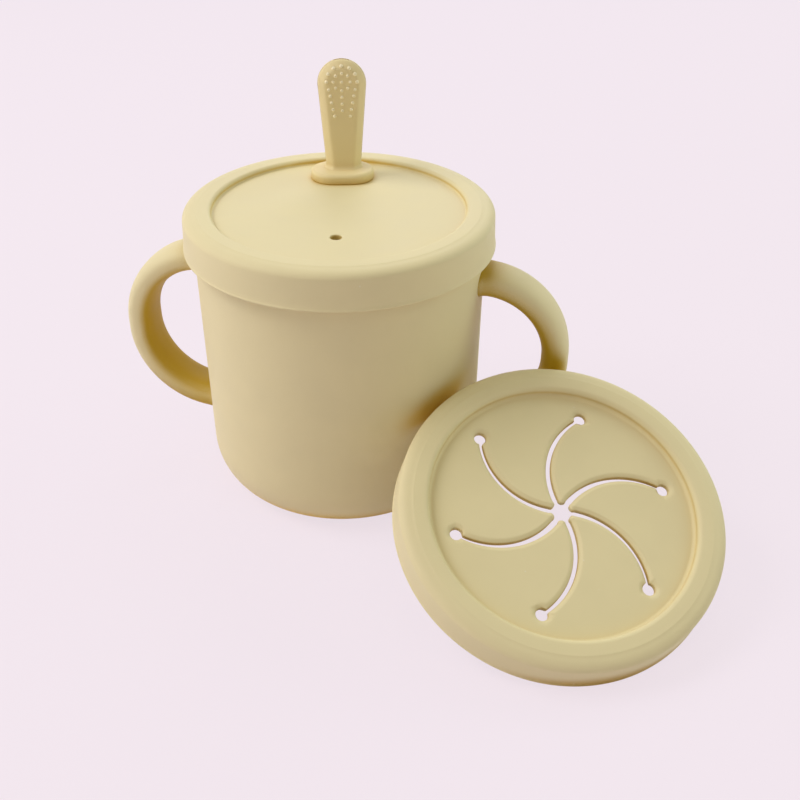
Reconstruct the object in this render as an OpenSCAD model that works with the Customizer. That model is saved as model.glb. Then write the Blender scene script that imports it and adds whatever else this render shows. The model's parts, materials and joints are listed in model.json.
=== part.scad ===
// Toddler's snack cup in soft moulded silicone.
// A cup with two looped handles wears a drinking lid with a flat paddle straw.
// A second lid, cut into six swirling flaps, leans against the cup and its right handle.
// The cup stands on z = 0 with its handles along X and its front towards -Y.

/* [Cup] */
// Outer radius of the wall just under the rim
cup_r = 41.7; // [38:0.1:46]
// Height of the rim above the base
cup_h = 84.1; // [76:0.1:96]
// How much smaller the wall's outer radius is at the bottom
cup_draft = 0.6; // [0:0.1:2]
// Thickness of the wall
wall = 3; // [2.4:0.1:3.4]
// Thickness of the floor
floor_t = 4.2; // [3:0.1:6]
// Height of the big rounded edge round the base
base_round_h = 14; // [8:0.5:18]
// Width of the big rounded edge round the base
base_round_w = 10.6; // [6:0.2:12]

/* [Handles] */
// Height of the middle of each handle's loop
loop_z = 43.6; // [40:0.2:48]
// Radius of the loop's curves along the middle of its bar
loop_r = 22.9; // [20:0.1:24]
// Upright run between the loop's two curves
loop_run = 2.4; // [0.4:0.2:6]
// Thickness of the bar, measured out from the middle of the loop
bar_t = 8; // [6:0.2:9]
// Width of the bar, from its front face to its back face
bar_w = 14.4; // [9:0.2:16]
// How square the bar's section is, from 2 for an oval upwards
bar_square = 2.4; // [2:0.1:4]
// Turn of the left handle towards the back, as the soft bar was bent
left_bend = 2; // [0:0.5:4]

/* [Lids] */
// Outer radius of both lids at the top of the skirt
lid_r = 44; // [43.6:0.1:48]
// Height of both lids
lid_h = 11; // [10:0.1:13]
// How much wider the skirt is at its lower edge
skirt_flare = 0.3; // [0:0.1:0.6]
// Radius of the sunk panel
panel_r = 36; // [34:0.1:36.2]
// Radius where the flat rim ends and the rounded shoulder starts
crease_r = 40.4; // [39:0.1:42]
// Drop of the rounded shoulder
shoulder_drop = 2.3; // [1:0.1:3]
// Space between a lid and the cup's rim, all round
fit_gap = 0.35; // [0.3:0.01:0.5]

/* [Drinking lid] */
// Depth of the sunk panel
drink_sunk = 1.8; // [1.2:0.1:2.4]
// Thickness of the panel
drink_panel_t = 2.4; // [2:0.1:3]
// Turn of the lid on the cup, as it was pressed on
drink_turn = 9.3; // [-20:0.1:20]
// Distance of the air vent from the middle
vent_at = 18.8; // [14:0.1:24]
// Radius of the air vent
vent_r = 1.6; // [1:0.1:2]

/* [Straw] */
// Distance of the straw's paddle and tube from the middle of the lid
straw_at = 26.4; // [22:0.1:26.6]
// Outer radius of the tube
tube_r = 3.9; // [3.4:0.1:4.4]
// Radius of the straw's bore
bore_r = 1.8; // [1.5:0.05:2]
// Height of the tube's open end above the cup's floor
tube_end = 8; // [4:0.5:20]
// Width of the collar that sits on the panel
collar_w = 18.8; // [16:0.2:22]
// Depth of the collar, front to back
collar_d = 13.4; // [13:0.1:14]
// Thickness of the collar
collar_t = 2.9; // [2:0.1:3.2]
// How far the middle of the collar lies in front of the paddle
collar_front = 1.8; // [0:0.1:2]
// Turn of the straw in its hole
straw_turn = 3; // [-10:0.5:10]
// Height of the paddle mouthpiece above the collar
paddle_h = 31.8; // [28:0.1:36]
// Width of the paddle where it leaves the collar
paddle_foot_w = 10.3; // [9.6:0.1:12]
// Greatest width of the paddle
paddle_w = 14.1; // [12:0.1:16]
// Thickness of the paddle where it leaves the collar
paddle_foot_t = 6.8; // [6:0.1:8]
// Thickness of the paddle near its tip
paddle_tip_t = 5.6; // [5.2:0.1:6.5]

/* [Snack lid] */
// Depth of the sunk panel
snack_sunk = 2.8; // [2:0.1:3.5]
// Thickness of the panel and of the flaps
flap_t = 2.2; // [1.8:0.1:2.6]
// Distance of each relief hole from the middle
relief_at = 29.7; // [27:0.1:30.5]
// Radius of each relief hole
relief_r = 1.65; // [1.4:0.05:2]
// Radius of each slit's curve
slit_curve = 21.1; // [20:0.1:26]
// Width of a slit near the middle of the lid
slit_wide = 1.7; // [1.2:0.1:2]
// Width of a slit where it meets its relief hole
slit_narrow = 0.8; // [0.7:0.1:1.2]
// Turn of the swirl on the lid
swirl_turn = 122.5; // [0:0.5:180]

/* [Leaning lid] */
// Slope of the leaning lid's face, where 0 would lie flat
lean = 26; // [20:1:34]
// Turn of the leaning lid's face towards the right
lean_turn = 24; // [22:1:30]
// Place of the middle of its lower edge, to the right of the cup's axis
lean_x = 68.3; // [68.2:0.1:90]
// Place of the middle of its lower edge, in front of the cup's axis
lean_y = -47.5; // [-70:0.1:-47.4]

/* [Hidden] */
$fn = 128;
silicone = [0.886, 0.839, 0.69];
silicone_shade = [0.855, 0.796, 0.624];

// Cup, worked out from the driving sizes; each turn of a handle runs 10 degrees further than a
// quarter, so that it ends inside the wall
base_r = cup_r - cup_draft;
mouth_r = cup_r - wall;
inner_round = 8;
rim_round = 1.2;
loop_turn = 100;

// Lids: a channel under the rim takes the cup's edge between the skirt and the plug ring
skirt_r = lid_r + skirt_flare;
skirt_in = cup_r + fit_gap;
plug_out = mouth_r - fit_gap;
plug_in = panel_r - 0.1;
channel_z = 8;
plug_z = 2.2;
lip_round = 0.8;
edge_round = 0.7;
seat_gap = 0.1;
lid_z = cup_h + seat_gap - channel_z;

// Drinking lid and straw
drink_top = lid_z + lid_h - drink_sunk;
straw_hole_r = tube_r + 0.5;
neck_r = tube_r + 0.2;
sit = 0.05;
collar_z = drink_top + sit;
collar_edge = 0.9;
paddle_z = collar_z + collar_t;
tube_z = floor_t + tube_end;
valve_l = 4.4;
valve_w = 0.4;
valve_wall = 3;
rings = 30;
tip_arc = 2.6;
dot_r = 0.62;
dot_proud = 0.42;

// Snack lid: six slits, each a quarter turn that swings from the middle out to its relief hole
flaps = 6;
step = 360 / flaps;
slit_turn = 2 * asin(relief_at / (2 * slit_curve));
hinge_at = relief_at * cos(step / 2);
half_t = flap_t / 2;
root_r = half_t - 0.02;
root_gap = 0.3;
panel_z = lid_h - snack_sunk;
tip_at = 3.6;
slit_steps = 22;
root_clip = relief_at + 0.6;
lean_z = lip_round + (skirt_r - lip_round) * sin(lean) - lip_round * cos(lean) + sit;

// Points of an elliptical arc about (x, y), from angle a to angle b
function arc(x, y, rx, ry, a, b, n = 10) =
    [for (i = [0 : n]) [x + rx * cos(a + (b - a) * i / n), y + ry * sin(a + (b - a) * i / n)]];

// Points of a squarish oval of width w and height h
function oval(w, h, power, n = 40) =
    [for (i = [0 : n - 1]) let (c = cos(360 * i / n), s = sin(360 * i / n))
        [w / 2 * sign(c) * pow(abs(c), 2 / power), h / 2 * sign(s) * pow(abs(s), 2 / power)]];

// Outer profile of the cup: flat base, big rounded edge, almost straight wall, soft rim
cup_outside = concat(
    [[0, 0], [base_r - base_round_w, 0]],
    arc(base_r - base_round_w, base_round_h, base_round_w, base_round_h, -90, 0, 16),
    arc(cup_r - rim_round, cup_h - rim_round, rim_round, rim_round, 0, 90, 6)
);

// Inner profile of the cup, from the rim down to the floor
cup_inside = concat(
    arc(mouth_r + rim_round, cup_h - rim_round, rim_round, rim_round, 90, 180, 6),
    arc(base_r - wall - inner_round, floor_t + inner_round, inner_round, inner_round, 0, -90, 12),
    [[0, floor_t]]
);

// Half section of a lid whose panel is sunk by sunk and is thick mm thick
function lid_section(sunk, thick) = concat(
    [[0, lid_h - sunk - thick], [0, lid_h - sunk]],
    arc(panel_r - edge_round, lid_h - sunk + edge_round, edge_round, edge_round, -90, 0, 5),
    arc(panel_r + edge_round, lid_h - edge_round, edge_round, edge_round, 180, 90, 5),
    arc(crease_r, lid_h - shoulder_drop, lid_r - crease_r, shoulder_drop - 0.2, 84, 0, 12),
    arc(skirt_r - lip_round, lip_round, lip_round, lip_round, 0, -90, 6),
    [[skirt_in + 0.3, 0], [skirt_in, 0.4], [skirt_in, channel_z], [plug_out, channel_z]],
    [[plug_out, plug_z + 0.8], [plug_out - 0.8, plug_z], [plug_in, plug_z]],
    [[plug_in, lid_h - sunk - thick]]
);

// A slit's centre line in the lid's plane: s runs from 0 in the middle to 1 at the relief hole
function slit_heading(i) = -i * step + slit_turn / 2;
function slit_point(i, s, side = 0) =
    let (h = slit_heading(i), w = (slit_wide + (slit_narrow - slit_wide) * s) / 2 * side)
    let (a = h + 90 - s * slit_turn)
    [slit_curve * cos(h - 90) + (slit_curve + w) * cos(a),
     slit_curve * sin(h - 90) + (slit_curve + w) * sin(a)];

// Outline of one flap: in along one slit, round the tip on an ellipse, out along the next slit,
// then past the root, out between two relief holes
function flap_outline(i) =
    let (first = tip_at / (slit_curve * slit_turn * PI / 180))
    let (a = slit_point(i, first, -1), b = slit_point(i + 1, first, 1))
    let (u = (b - a) / 2, v = 0.85 * [u[1], -u[0]])
    let (inward = v * (a + b) < 0 ? v : -v)
    concat(
        [for (k = [slit_steps : -1 : 0]) slit_point(i, first + (1 - first) * k / slit_steps, -1)],
        [for (t = [165 : -15 : 15]) (a + b) / 2 + u * cos(t) + inward * sin(t)],
        [for (k = [0 : slit_steps]) slit_point(i + 1, first + (1 - first) * k / slit_steps, 1)],
        [for (k = [i + 1, i]) 1.15 * relief_at * [cos(-k * step), sin(-k * step)]]
    );

module cup_solid() {
    rotate_extrude()
        polygon(concat(cup_outside, [[0, cup_h]]));
}

module cup_body() {
    color(silicone)
        rotate_extrude()
            polygon(concat(cup_outside, cup_inside));
}

module bar_section() {
    polygon(oval(bar_t, bar_w, bar_square));
}

// One looped handle on the +X side, cut to the curve of the cup's wall: two turns that run on
// into the wall, and the short upright run that joins them
module handle() {
    difference() {
        translate([base_r, 0, loop_z])
            rotate([90, 0, 0]) {
                for (side = [-1, 1])
                    translate([0, side * loop_run / 2, 0])
                        rotate([0, 0, side > 0 ? 0 : -loop_turn])
                            rotate_extrude(angle = loop_turn)
                                translate([loop_r, 0])
                                    bar_section();
                translate([loop_r, loop_run / 2 + 0.01, 0])
                    rotate([90, 0, 0])
                        linear_extrude(loop_run + 0.02)
                            bar_section();
            }
        cup_solid();
    }
}

module handle_right() {
    color(silicone_shade)
        handle();
}

module handle_left() {
    color(silicone_shade)
        rotate([0, 0, -left_bend])
            mirror([1, 0, 0])
                handle();
}

module drinking_lid() {
    color(silicone)
        rotate([0, 0, drink_turn])
            difference() {
                translate([0, 0, lid_z])
                    rotate_extrude()
                        polygon(lid_section(drink_sunk, drink_panel_t));
                translate([0, straw_at, drink_top - 2 * drink_panel_t])
                    cylinder(r = straw_hole_r, h = 3 * drink_panel_t);
                translate([0, -vent_at, drink_top - 2 * drink_panel_t])
                    cylinder(r = vent_r, h = 3 * drink_panel_t, $fn = 48);
            }
}

// Half width and half thickness of the paddle at height z above the collar
function paddle_half_w(z) =
    let (middle = paddle_h - paddle_w / 2)
    z < middle
        ? (paddle_foot_w + (paddle_w - paddle_foot_w) * z / middle) / 2
        : sqrt(max(0.01, pow(paddle_w / 2, 2) - pow(z - middle, 2)));
function paddle_half_t(z) =
    let (plain = paddle_foot_t + (paddle_tip_t - paddle_foot_t) * min(1, z / (0.7 * paddle_h)))
    let (over = max(0, z - paddle_h + tip_arc) / tip_arc)
    plain / 2 * sqrt(max(0.02, 1 - over * over));

// Section of the paddle: flat faces front and back, a soft bevel on each of the four corners
function paddle_section(z) =
    let (w = paddle_half_w(z), t = paddle_half_t(z), soft = 0.12)
    let (corner = [[0.58 * w, t], [w, 0.3 * t]])
    let (quarter = [
        [corner[0][0] - soft * w, t],
        [corner[0][0] + soft * w, t - soft * t],
        [w - soft * w * 0.5, 0.3 * t + 2 * soft * t],
        [w, 0.3 * t - soft * t]
    ])
    concat(
        [for (k = [3 : -1 : 0]) [quarter[k][0], quarter[k][1]]],
        [for (k = [0 : 3]) [-quarter[k][0], quarter[k][1]]],
        [for (k = [3 : -1 : 0]) [-quarter[k][0], -quarter[k][1]]],
        [for (k = [0 : 3]) [quarter[k][0], -quarter[k][1]]]
    );

// The rings crowd together towards the tip so that its curve stays smooth
function ring_height(k) = paddle_h * sin(90 * k / rings);

module paddle() {
    sides = 16;
    points = [for (k = [0 : rings]) for (p = paddle_section(ring_height(k))) [p[0], p[1], ring_height(k)]];
    bands = [for (k = [0 : rings - 1]) for (j = [0 : sides - 1])
        let (a = k * sides + j, b = k * sides + (j + 1) % sides)
        each [[a, b + sides, b], [a, a + sides, b + sides]]];
    foot = [for (j = [1 : sides - 2]) [0, j, j + 1]];
    tip = [for (j = [1 : sides - 2]) [rings * sides, rings * sides + j + 1, rings * sides + j]];
    polyhedron(points = points, faces = concat(bands, foot, tip));
}

// Raised gum dots on the paddle's front face: a centre dot, a ring of eight and an outer arc,
// then two side columns that follow the paddle's taper with a shorter column between them
module gum_dots() {
    ring_z = paddle_h - 5.9;
    places = concat(
        [[0, ring_z]],
        [for (a = [0 : 45 : 315]) [2.45 * cos(a), ring_z + 2.45 * sin(a)]],
        [for (a = [-30 : 30 : 210]) [4.35 * cos(a), ring_z + 4.35 * sin(a)]],
        [for (k = [0 : 3], side = [-1, 1]) [side * (3.38 - 0.365 * k), ring_z - 4 - 1.97 * k]],
        [for (k = [0 : 2]) [0, ring_z - 4.35 - 1.97 * k]]
    );
    for (p = places)
        translate([p[0], -paddle_half_t(p[1]) + dot_r - dot_proud, p[1]])
            sphere(r = dot_r, $fn = 16);
}

// Oblong collar with round ends and a softly rounded top edge
module collar() {
    half = collar_d / 2;
    edge = concat(
        [[0, 0], [half, 0]],
        arc(half - collar_edge, collar_t - collar_edge, collar_edge, collar_edge, 0, 90, 5),
        [[0, collar_t]]
    );
    straight = collar_w - collar_d;
    for (side = [-1, 1])
        translate([side * straight / 2, 0, 0])
            rotate_extrude()
                polygon(edge);
    translate([-straight / 2, 0, 0])
        rotate([90, 0, 90])
            linear_extrude(straight)
                union() {
                    polygon(edge);
                    mirror([1, 0])
                        polygon(edge);
                }
}

module straw() {
    color(silicone)
        rotate([0, 0, drink_turn])
            translate([0, straw_at, 0])
                rotate([0, 0, straw_turn])
                    difference() {
                        union() {
                            translate([0, 0, paddle_z - 0.01]) {
                                paddle();
                                gum_dots();
                            }
                            translate([0, -collar_front, collar_z])
                                collar();
                            translate([0, 0, drink_top - drink_panel_t])
                                cylinder(r = neck_r, h = drink_panel_t + 1);
                            translate([0, 0, tube_z])
                                cylinder(r = tube_r, h = drink_top - tube_z);
                        }
                        translate([0, 0, tube_z - 1])
                            cylinder(r = bore_r, h = paddle_z + paddle_h - valve_wall - tube_z + 1, $fn = 64);
                        translate([-valve_l / 2, -valve_w / 2, paddle_z + paddle_h - valve_wall - 1])
                            cube([valve_l, valve_w, valve_wall + 2]);
                    }
}

// Puts the snack lid and its flaps where the lid leans, its face up and to the front
module leaning() {
    translate([lean_x, lean_y, lean_z])
        rotate([lean, 0, lean_turn])
            rotate([0, 0, swirl_turn])
                children();
}

module relief_holes() {
    for (i = [0 : flaps - 1])
        rotate([0, 0, -i * step])
            translate([relief_at, 0])
                circle(r = relief_r, $fn = 48);
}

// The lid's panel stops short of the flaps' roots, with a relief hole at each corner
module swirl_opening() {
    intersection() {
        circle(r = (hinge_at + half_t + root_gap) / cos(step / 2), $fn = flaps);
        circle(r = root_clip);
    }
    relief_holes();
}

module snack_lid() {
    color(silicone)
        leaning()
            difference() {
                rotate_extrude()
                    polygon(lid_section(snack_sunk, flap_t));
                translate([0, 0, panel_z - 2 * flap_t])
                    linear_extrude(4 * flap_t)
                        swirl_opening();
            }
}

// One flap, with a rounded root that turns about the straight line between two relief holes
module flap(i) {
    color(silicone_shade)
        leaning()
            difference() {
                intersection() {
                    union() {
                        translate([0, 0, panel_z - flap_t])
                            linear_extrude(flap_t)
                                circle(r = hinge_at / cos(step / 2), $fn = flaps);
                        rotate([0, 0, -(i + 0.5) * step])
                            translate([hinge_at, 0, panel_z - half_t])
                                rotate([90, 0, 0])
                                    cylinder(r = root_r, h = relief_at - 2, center = true, $fn = 48);
                    }
                    translate([0, 0, panel_z - 2 * flap_t])
                        linear_extrude(4 * flap_t)
                            polygon(flap_outline(i));
                }
                translate([0, 0, panel_z - 2 * flap_t])
                    linear_extrude(4 * flap_t)
                        relief_holes();
            }
}

cup_body();
handle_left();
handle_right();
drinking_lid();
straw();
snack_lid();
flap(0);  // flap_1
flap(1);  // flap_2
flap(2);  // flap_3
flap(3);  // flap_4
flap(4);  // flap_5
flap(5);  // flap_6
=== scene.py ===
import json
import math

import bmesh
import bpy
import numpy as np
from mathutils import Matrix, Vector


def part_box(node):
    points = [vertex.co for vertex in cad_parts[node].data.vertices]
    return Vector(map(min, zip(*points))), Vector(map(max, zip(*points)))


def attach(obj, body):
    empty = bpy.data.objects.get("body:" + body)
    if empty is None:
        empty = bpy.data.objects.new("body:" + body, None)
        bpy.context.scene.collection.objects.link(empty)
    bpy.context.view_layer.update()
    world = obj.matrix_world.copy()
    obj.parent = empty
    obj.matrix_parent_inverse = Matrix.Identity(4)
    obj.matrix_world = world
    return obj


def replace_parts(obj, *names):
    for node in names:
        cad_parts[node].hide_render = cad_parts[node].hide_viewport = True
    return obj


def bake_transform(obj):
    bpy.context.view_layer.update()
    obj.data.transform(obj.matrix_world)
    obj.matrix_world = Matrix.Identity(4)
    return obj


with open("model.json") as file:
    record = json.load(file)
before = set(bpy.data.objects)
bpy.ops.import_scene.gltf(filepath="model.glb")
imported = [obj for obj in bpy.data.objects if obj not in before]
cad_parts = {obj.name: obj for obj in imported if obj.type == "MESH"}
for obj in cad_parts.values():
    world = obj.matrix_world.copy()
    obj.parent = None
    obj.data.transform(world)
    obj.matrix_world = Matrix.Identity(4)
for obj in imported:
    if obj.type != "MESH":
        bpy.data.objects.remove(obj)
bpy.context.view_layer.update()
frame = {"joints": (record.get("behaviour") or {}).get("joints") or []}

# A toddler's snack cup in matte cream silicone: cup with looped handles, drinking lid with
# a paddle straw, and a snack lid whose six flaps swirl in from a ring of relief holes.
# Shapes are worked out in millimetres and put into the meshes in metres.

scene = bpy.context.scene
mm = 0.001
turn = 2 * math.pi


# Meshes


def gridFaces(rows, cols, aroundCols=False, start=0):
    # Quads of a grid of points kept row by row; aroundCols joins the last column to the first
    r = np.arange(rows - 1)[:, None]
    c = np.arange(cols if aroundCols else cols - 1)[None, :]
    n = (c + 1) % cols
    corners = [r * cols + c, r * cols + n, (r + 1) * cols + n, (r + 1) * cols + c]
    return start + np.stack(corners, -1).reshape(-1, 4)


meshing = {
    "mergeM": 2e-6,           # points closer than this, in metres, become one
    "shortestM": 1e-7,        # shorter edges are taken out
    "sharpAngle": 50,
}


def makePiece(name, points, quads, material, sharpAngle=meshing["sharpAngle"]):
    # One closed mesh: doubles merged, so that poles and seams close, then faces turned outwards
    mesh = bpy.data.meshes.new(name)
    mesh.vertices.add(len(points))
    mesh.vertices.foreach_set("co", (np.asarray(points, float) * mm).ravel())
    mesh.loops.add(quads.size)
    mesh.loops.foreach_set("vertex_index", quads.ravel().astype(np.int32))
    mesh.polygons.add(len(quads))
    mesh.polygons.foreach_set("loop_start", np.arange(0, quads.size, 4, dtype=np.int32))
    mesh.update(calc_edges=True)
    work = bmesh.new()
    work.from_mesh(mesh)
    bmesh.ops.remove_doubles(work, verts=work.verts, dist=meshing["mergeM"])
    bmesh.ops.dissolve_degenerate(work, edges=work.edges, dist=meshing["shortestM"])
    bmesh.ops.recalc_face_normals(work, faces=work.faces)
    work.to_mesh(mesh)
    work.free()
    mesh.polygons.foreach_set("use_smooth", np.ones(len(mesh.polygons), bool))
    mesh.set_sharp_from_angle(angle=math.radians(sharpAngle))
    mesh.materials.append(material)
    piece = bpy.data.objects.new(name, mesh)
    scene.collection.objects.link(piece)
    return piece


def arcPoints(x, y, rx, ry, a, b, count):
    # Points of an elliptical arc about (x, y), from a to b degrees
    t = np.radians(np.linspace(a, b, count))
    return np.stack([x + rx * np.cos(t), y + ry * np.sin(t)], -1)


def revolve(profile, segments):
    # A profile of (radius, height) rows carried round the Z axis
    t = np.linspace(0, turn, segments, endpoint=False)
    r, z = profile[:, :1], profile[:, 1:]
    points = np.stack([r * np.cos(t), r * np.sin(t), z + 0 * t], -1).reshape(-1, 3)
    return points, gridFaces(len(profile), segments, True)


def turned(points, degrees):
    # Points turned about the Z axis
    a = math.radians(degrees)
    return points @ np.array([[math.cos(a), math.sin(a), 0], [-math.sin(a), math.cos(a), 0], [0, 0, 1]])


def edgeDrop(distance, edge):
    # How far a rounded edge has fallen away: a quarter circle of radius edge, nothing past it
    inside = np.clip(edge - distance, 0, edge)
    return edge - np.sqrt(edge ** 2 - inside ** 2)


# Materials


def nodeGroup(name, inputs, outputs):
    # An empty node group with named float or colour sockets, and its group input and output
    group = bpy.data.node_groups.new(name, "ShaderNodeTree")
    kinds = {"value": "NodeSocketFloat", "colour": "NodeSocketColor"}
    for label, kind, default in inputs:
        socket = group.interface.new_socket(name=label, in_out="INPUT", socket_type=kinds[kind])
        socket.default_value = default
    for label, kind in outputs:
        group.interface.new_socket(name=label, in_out="OUTPUT", socket_type=kinds[kind])
    return group, group.nodes.new("NodeGroupInput"), group.nodes.new("NodeGroupOutput")


def addNode(tree, kind, **settings):
    # A node with its properties set by name, and its inputs set through a dictionary called sockets
    node = tree.nodes.new(kind)
    sockets = settings.pop("sockets", {})
    for key, value in settings.items():
        setattr(node, key, value)
    for key, value in sockets.items():
        node.inputs[key].default_value = value
    return node


def buildPaintedShadeGroup():
    # Painted shade: colour that goes from the lit tone to a dark gold where ambient occlusion finds other
    # surfaces near, in creases, hollows and between parts
    group, source, out = nodeGroup(
        "siliconePaintedShade",
        [("Lit", "colour", (0.8, 0.7, 0.44, 1)), ("ShadeGold", "colour", (0.5, 0.3, 0.05, 1)),
         ("Start", "value", 0.9), ("End", "value", 0.35), ("Reach", "value", 0.02)],
        [("Colour", "colour")],
    )
    link = group.links.new
    # painted shade: the occlusion within Reach decides where the gold shade is painted
    shadeOcclusion = addNode(group, "ShaderNodeAmbientOcclusion", samples=8)
    link(source.outputs["Reach"], shadeOcclusion.inputs["Distance"])
    ramp = addNode(group, "ShaderNodeMapRange", interpolation_type="SMOOTHSTEP")
    link(shadeOcclusion.outputs["AO"], ramp.inputs["Value"])
    link(source.outputs["Start"], ramp.inputs["From Min"])
    link(source.outputs["End"], ramp.inputs["From Max"])
    mix = addNode(group, "ShaderNodeMix", data_type="RGBA")
    link(ramp.outputs["Result"], mix.inputs["Factor"])
    link(source.outputs["Lit"], mix.inputs[6])
    link(source.outputs["ShadeGold"], mix.inputs[7])
    link(mix.outputs[2], out.inputs["Colour"])
    return group


skin = {
    "ior": 1.42,
    "sheenRough": 0.6,
    "sheenTint": (1.0, 0.96, 0.86, 1),
    "lintColour": (0.9, 0.87, 0.78, 1),
    "mottleLow": 0.3,         # the noise's usual range
    "mottleHigh": 0.7,
    "toneLow": 0.985,         # shade of the colour across that range
    "toneHigh": 1.01,
    "roughUnder": 0.04,       # roughness below and above the plain one
    "roughOver": 0.05,
    "bump": 0.35,
    "lintScale": 210.0,
    "lintOuter": 0.055,       # size of a speck, where it fades out and where it is whole
    "lintInner": 0.02,
    "lintRare": 0.82,         # share of the cells that hold no speck
    "grainHeight": 0.12,
    "lintHeight": 0.25,
}


def buildGrainGroup():
    # Height of the moulded skin: fine grain, a slow ripple, and a few specks of lint on top
    group, source, out = nodeGroup(
        "siliconeGrain",
        [("Grain Size", "value", 2600.0), ("Ripple Size", "value", 90.0), ("Ripple", "value", 0.5),
         ("Lint", "value", 0.5)],
        [("Height", "value"), ("Mottle", "value"), ("Lint", "value")],
    )
    link = group.links.new
    place = addNode(group, "ShaderNodeTexCoord")
    grain = addNode(group, "ShaderNodeTexNoise", sockets={"Detail": 2.0, "Roughness": 0.6})
    ripple = addNode(group, "ShaderNodeTexNoise", sockets={"Detail": 2.0, "Roughness": 0.45})
    lint = addNode(group, "ShaderNodeTexVoronoi", sockets={"Scale": skin["lintScale"], "Randomness": 1.0})
    link(place.outputs["Object"], grain.inputs["Vector"])
    link(place.outputs["Object"], ripple.inputs["Vector"])
    link(place.outputs["Object"], lint.inputs["Vector"])
    link(source.outputs["Grain Size"], grain.inputs["Scale"])
    link(source.outputs["Ripple Size"], ripple.inputs["Scale"])
    speck = addNode(group, "ShaderNodeMapRange")
    speck.inputs["From Min"].default_value = skin["lintOuter"]
    speck.inputs["From Max"].default_value = skin["lintInner"]
    link(lint.outputs["Distance"], speck.inputs["Value"])
    chosen = addNode(group, "ShaderNodeMath", operation="GREATER_THAN", sockets={1: skin["lintRare"]})
    split = addNode(group, "ShaderNodeSeparateColor")
    link(lint.outputs["Color"], split.inputs["Color"])
    link(split.outputs["Red"], chosen.inputs[0])
    kept = addNode(group, "ShaderNodeMath", operation="MULTIPLY")
    link(speck.outputs["Result"], kept.inputs[0])
    link(chosen.outputs["Value"], kept.inputs[1])
    shown = addNode(group, "ShaderNodeMath", operation="MULTIPLY")
    link(kept.outputs["Value"], shown.inputs[0])
    link(source.outputs["Lint"], shown.inputs[1])
    slow = addNode(group, "ShaderNodeMath", operation="MULTIPLY")
    link(ripple.outputs["Fac"], slow.inputs[0])
    link(source.outputs["Ripple"], slow.inputs[1])
    fine = addNode(group, "ShaderNodeMath", operation="MULTIPLY_ADD", sockets={1: skin["grainHeight"]})
    link(grain.outputs["Fac"], fine.inputs[0])
    link(slow.outputs["Value"], fine.inputs[2])
    total = addNode(group, "ShaderNodeMath", operation="MULTIPLY_ADD", sockets={1: skin["lintHeight"]})
    link(shown.outputs["Value"], total.inputs[0])
    link(fine.outputs["Value"], total.inputs[2])
    link(total.outputs["Value"], out.inputs["Height"])
    link(ripple.outputs["Fac"], out.inputs["Mottle"])
    link(shown.outputs["Value"], out.inputs["Lint"])
    return group


def mottleRange(tree, low, high):
    # A node that turns the mottle's middle range into low to high, in a straight line
    node = addNode(tree, "ShaderNodeMapRange", sockets={"To Min": low, "To Max": high})
    node.inputs["From Min"].default_value = skin["mottleLow"]
    node.inputs["From Max"].default_value = skin["mottleHigh"]
    return node


def siliconeMaterial(name, look):
    # Matte silicone: lit tone to a painted gold shade where occlusion is deep, a faint mottle, lint, and the
    # skin's own grain
    material = bpy.data.materials.new(name)
    material.use_nodes = True
    tree = material.node_tree
    link = tree.links.new
    shader = tree.nodes["Principled BSDF"]
    shader.inputs["IOR"].default_value = skin["ior"]
    shader.inputs["Specular IOR Level"].default_value = look["gloss"]
    shader.inputs["Sheen Weight"].default_value = look["sheen"]
    shader.inputs["Sheen Roughness"].default_value = skin["sheenRough"]
    shader.inputs["Sheen Tint"].default_value = skin["sheenTint"]
    # painted shade: the base colour goes to this part's ShadeGold where nearby surfaces occlude it
    paintedShade = addNode(tree, "ShaderNodeGroup", node_tree=paintedShadeGroup)
    for key in ("Lit", "ShadeGold"):
        paintedShade.inputs[key].default_value = look[key] + (1,)
    for key in ("Start", "End", "Reach"):
        paintedShade.inputs[key].default_value = look[key]
    grain = addNode(tree, "ShaderNodeGroup", node_tree=grainGroup)
    grain.inputs["Ripple"].default_value = look["ripple"]
    grain.inputs["Lint"].default_value = look["lint"]
    tone = mottleRange(tree, skin["toneLow"], skin["toneHigh"])
    link(grain.outputs["Mottle"], tone.inputs["Value"])
    shade = addNode(tree, "ShaderNodeVectorMath", operation="SCALE")
    link(paintedShade.outputs["Colour"], shade.inputs[0])
    link(tone.outputs["Result"], shade.inputs["Scale"])
    dusty = addNode(tree, "ShaderNodeMix", data_type="RGBA")
    dusty.inputs[7].default_value = skin["lintColour"]
    link(grain.outputs["Lint"], dusty.inputs["Factor"])
    link(shade.outputs["Vector"], dusty.inputs[6])
    link(dusty.outputs[2], shader.inputs["Base Color"])
    rough = mottleRange(tree, look["rough"] - skin["roughUnder"], look["rough"] + skin["roughOver"])
    link(grain.outputs["Mottle"], rough.inputs["Value"])
    link(rough.outputs["Result"], shader.inputs["Roughness"])
    bump = addNode(tree, "ShaderNodeBump", sockets={"Strength": skin["bump"], "Distance": look["relief"]})
    link(grain.outputs["Height"], bump.inputs["Height"])
    link(bump.outputs["Normal"], shader.inputs["Normal"])
    return material


paintedShadeGroup = buildPaintedShadeGroup()
grainGroup = buildGrainGroup()

# ShadeGold, Start, End and Reach set each part's painted shade: its colour, the occlusion at which it starts
# and is whole, and how far the occlusion looks
cupSkin = {
    "Lit": (0.80, 0.71, 0.42), "ShadeGold": (0.74, 0.50, 0.05), "Start": 0.62, "End": 0.25, "Reach": 0.015,
    "gloss": 0.35, "sheen": 0.08, "rough": 0.56, "ripple": 0.2, "lint": 0.35, "relief": 0.0003,
}
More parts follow.
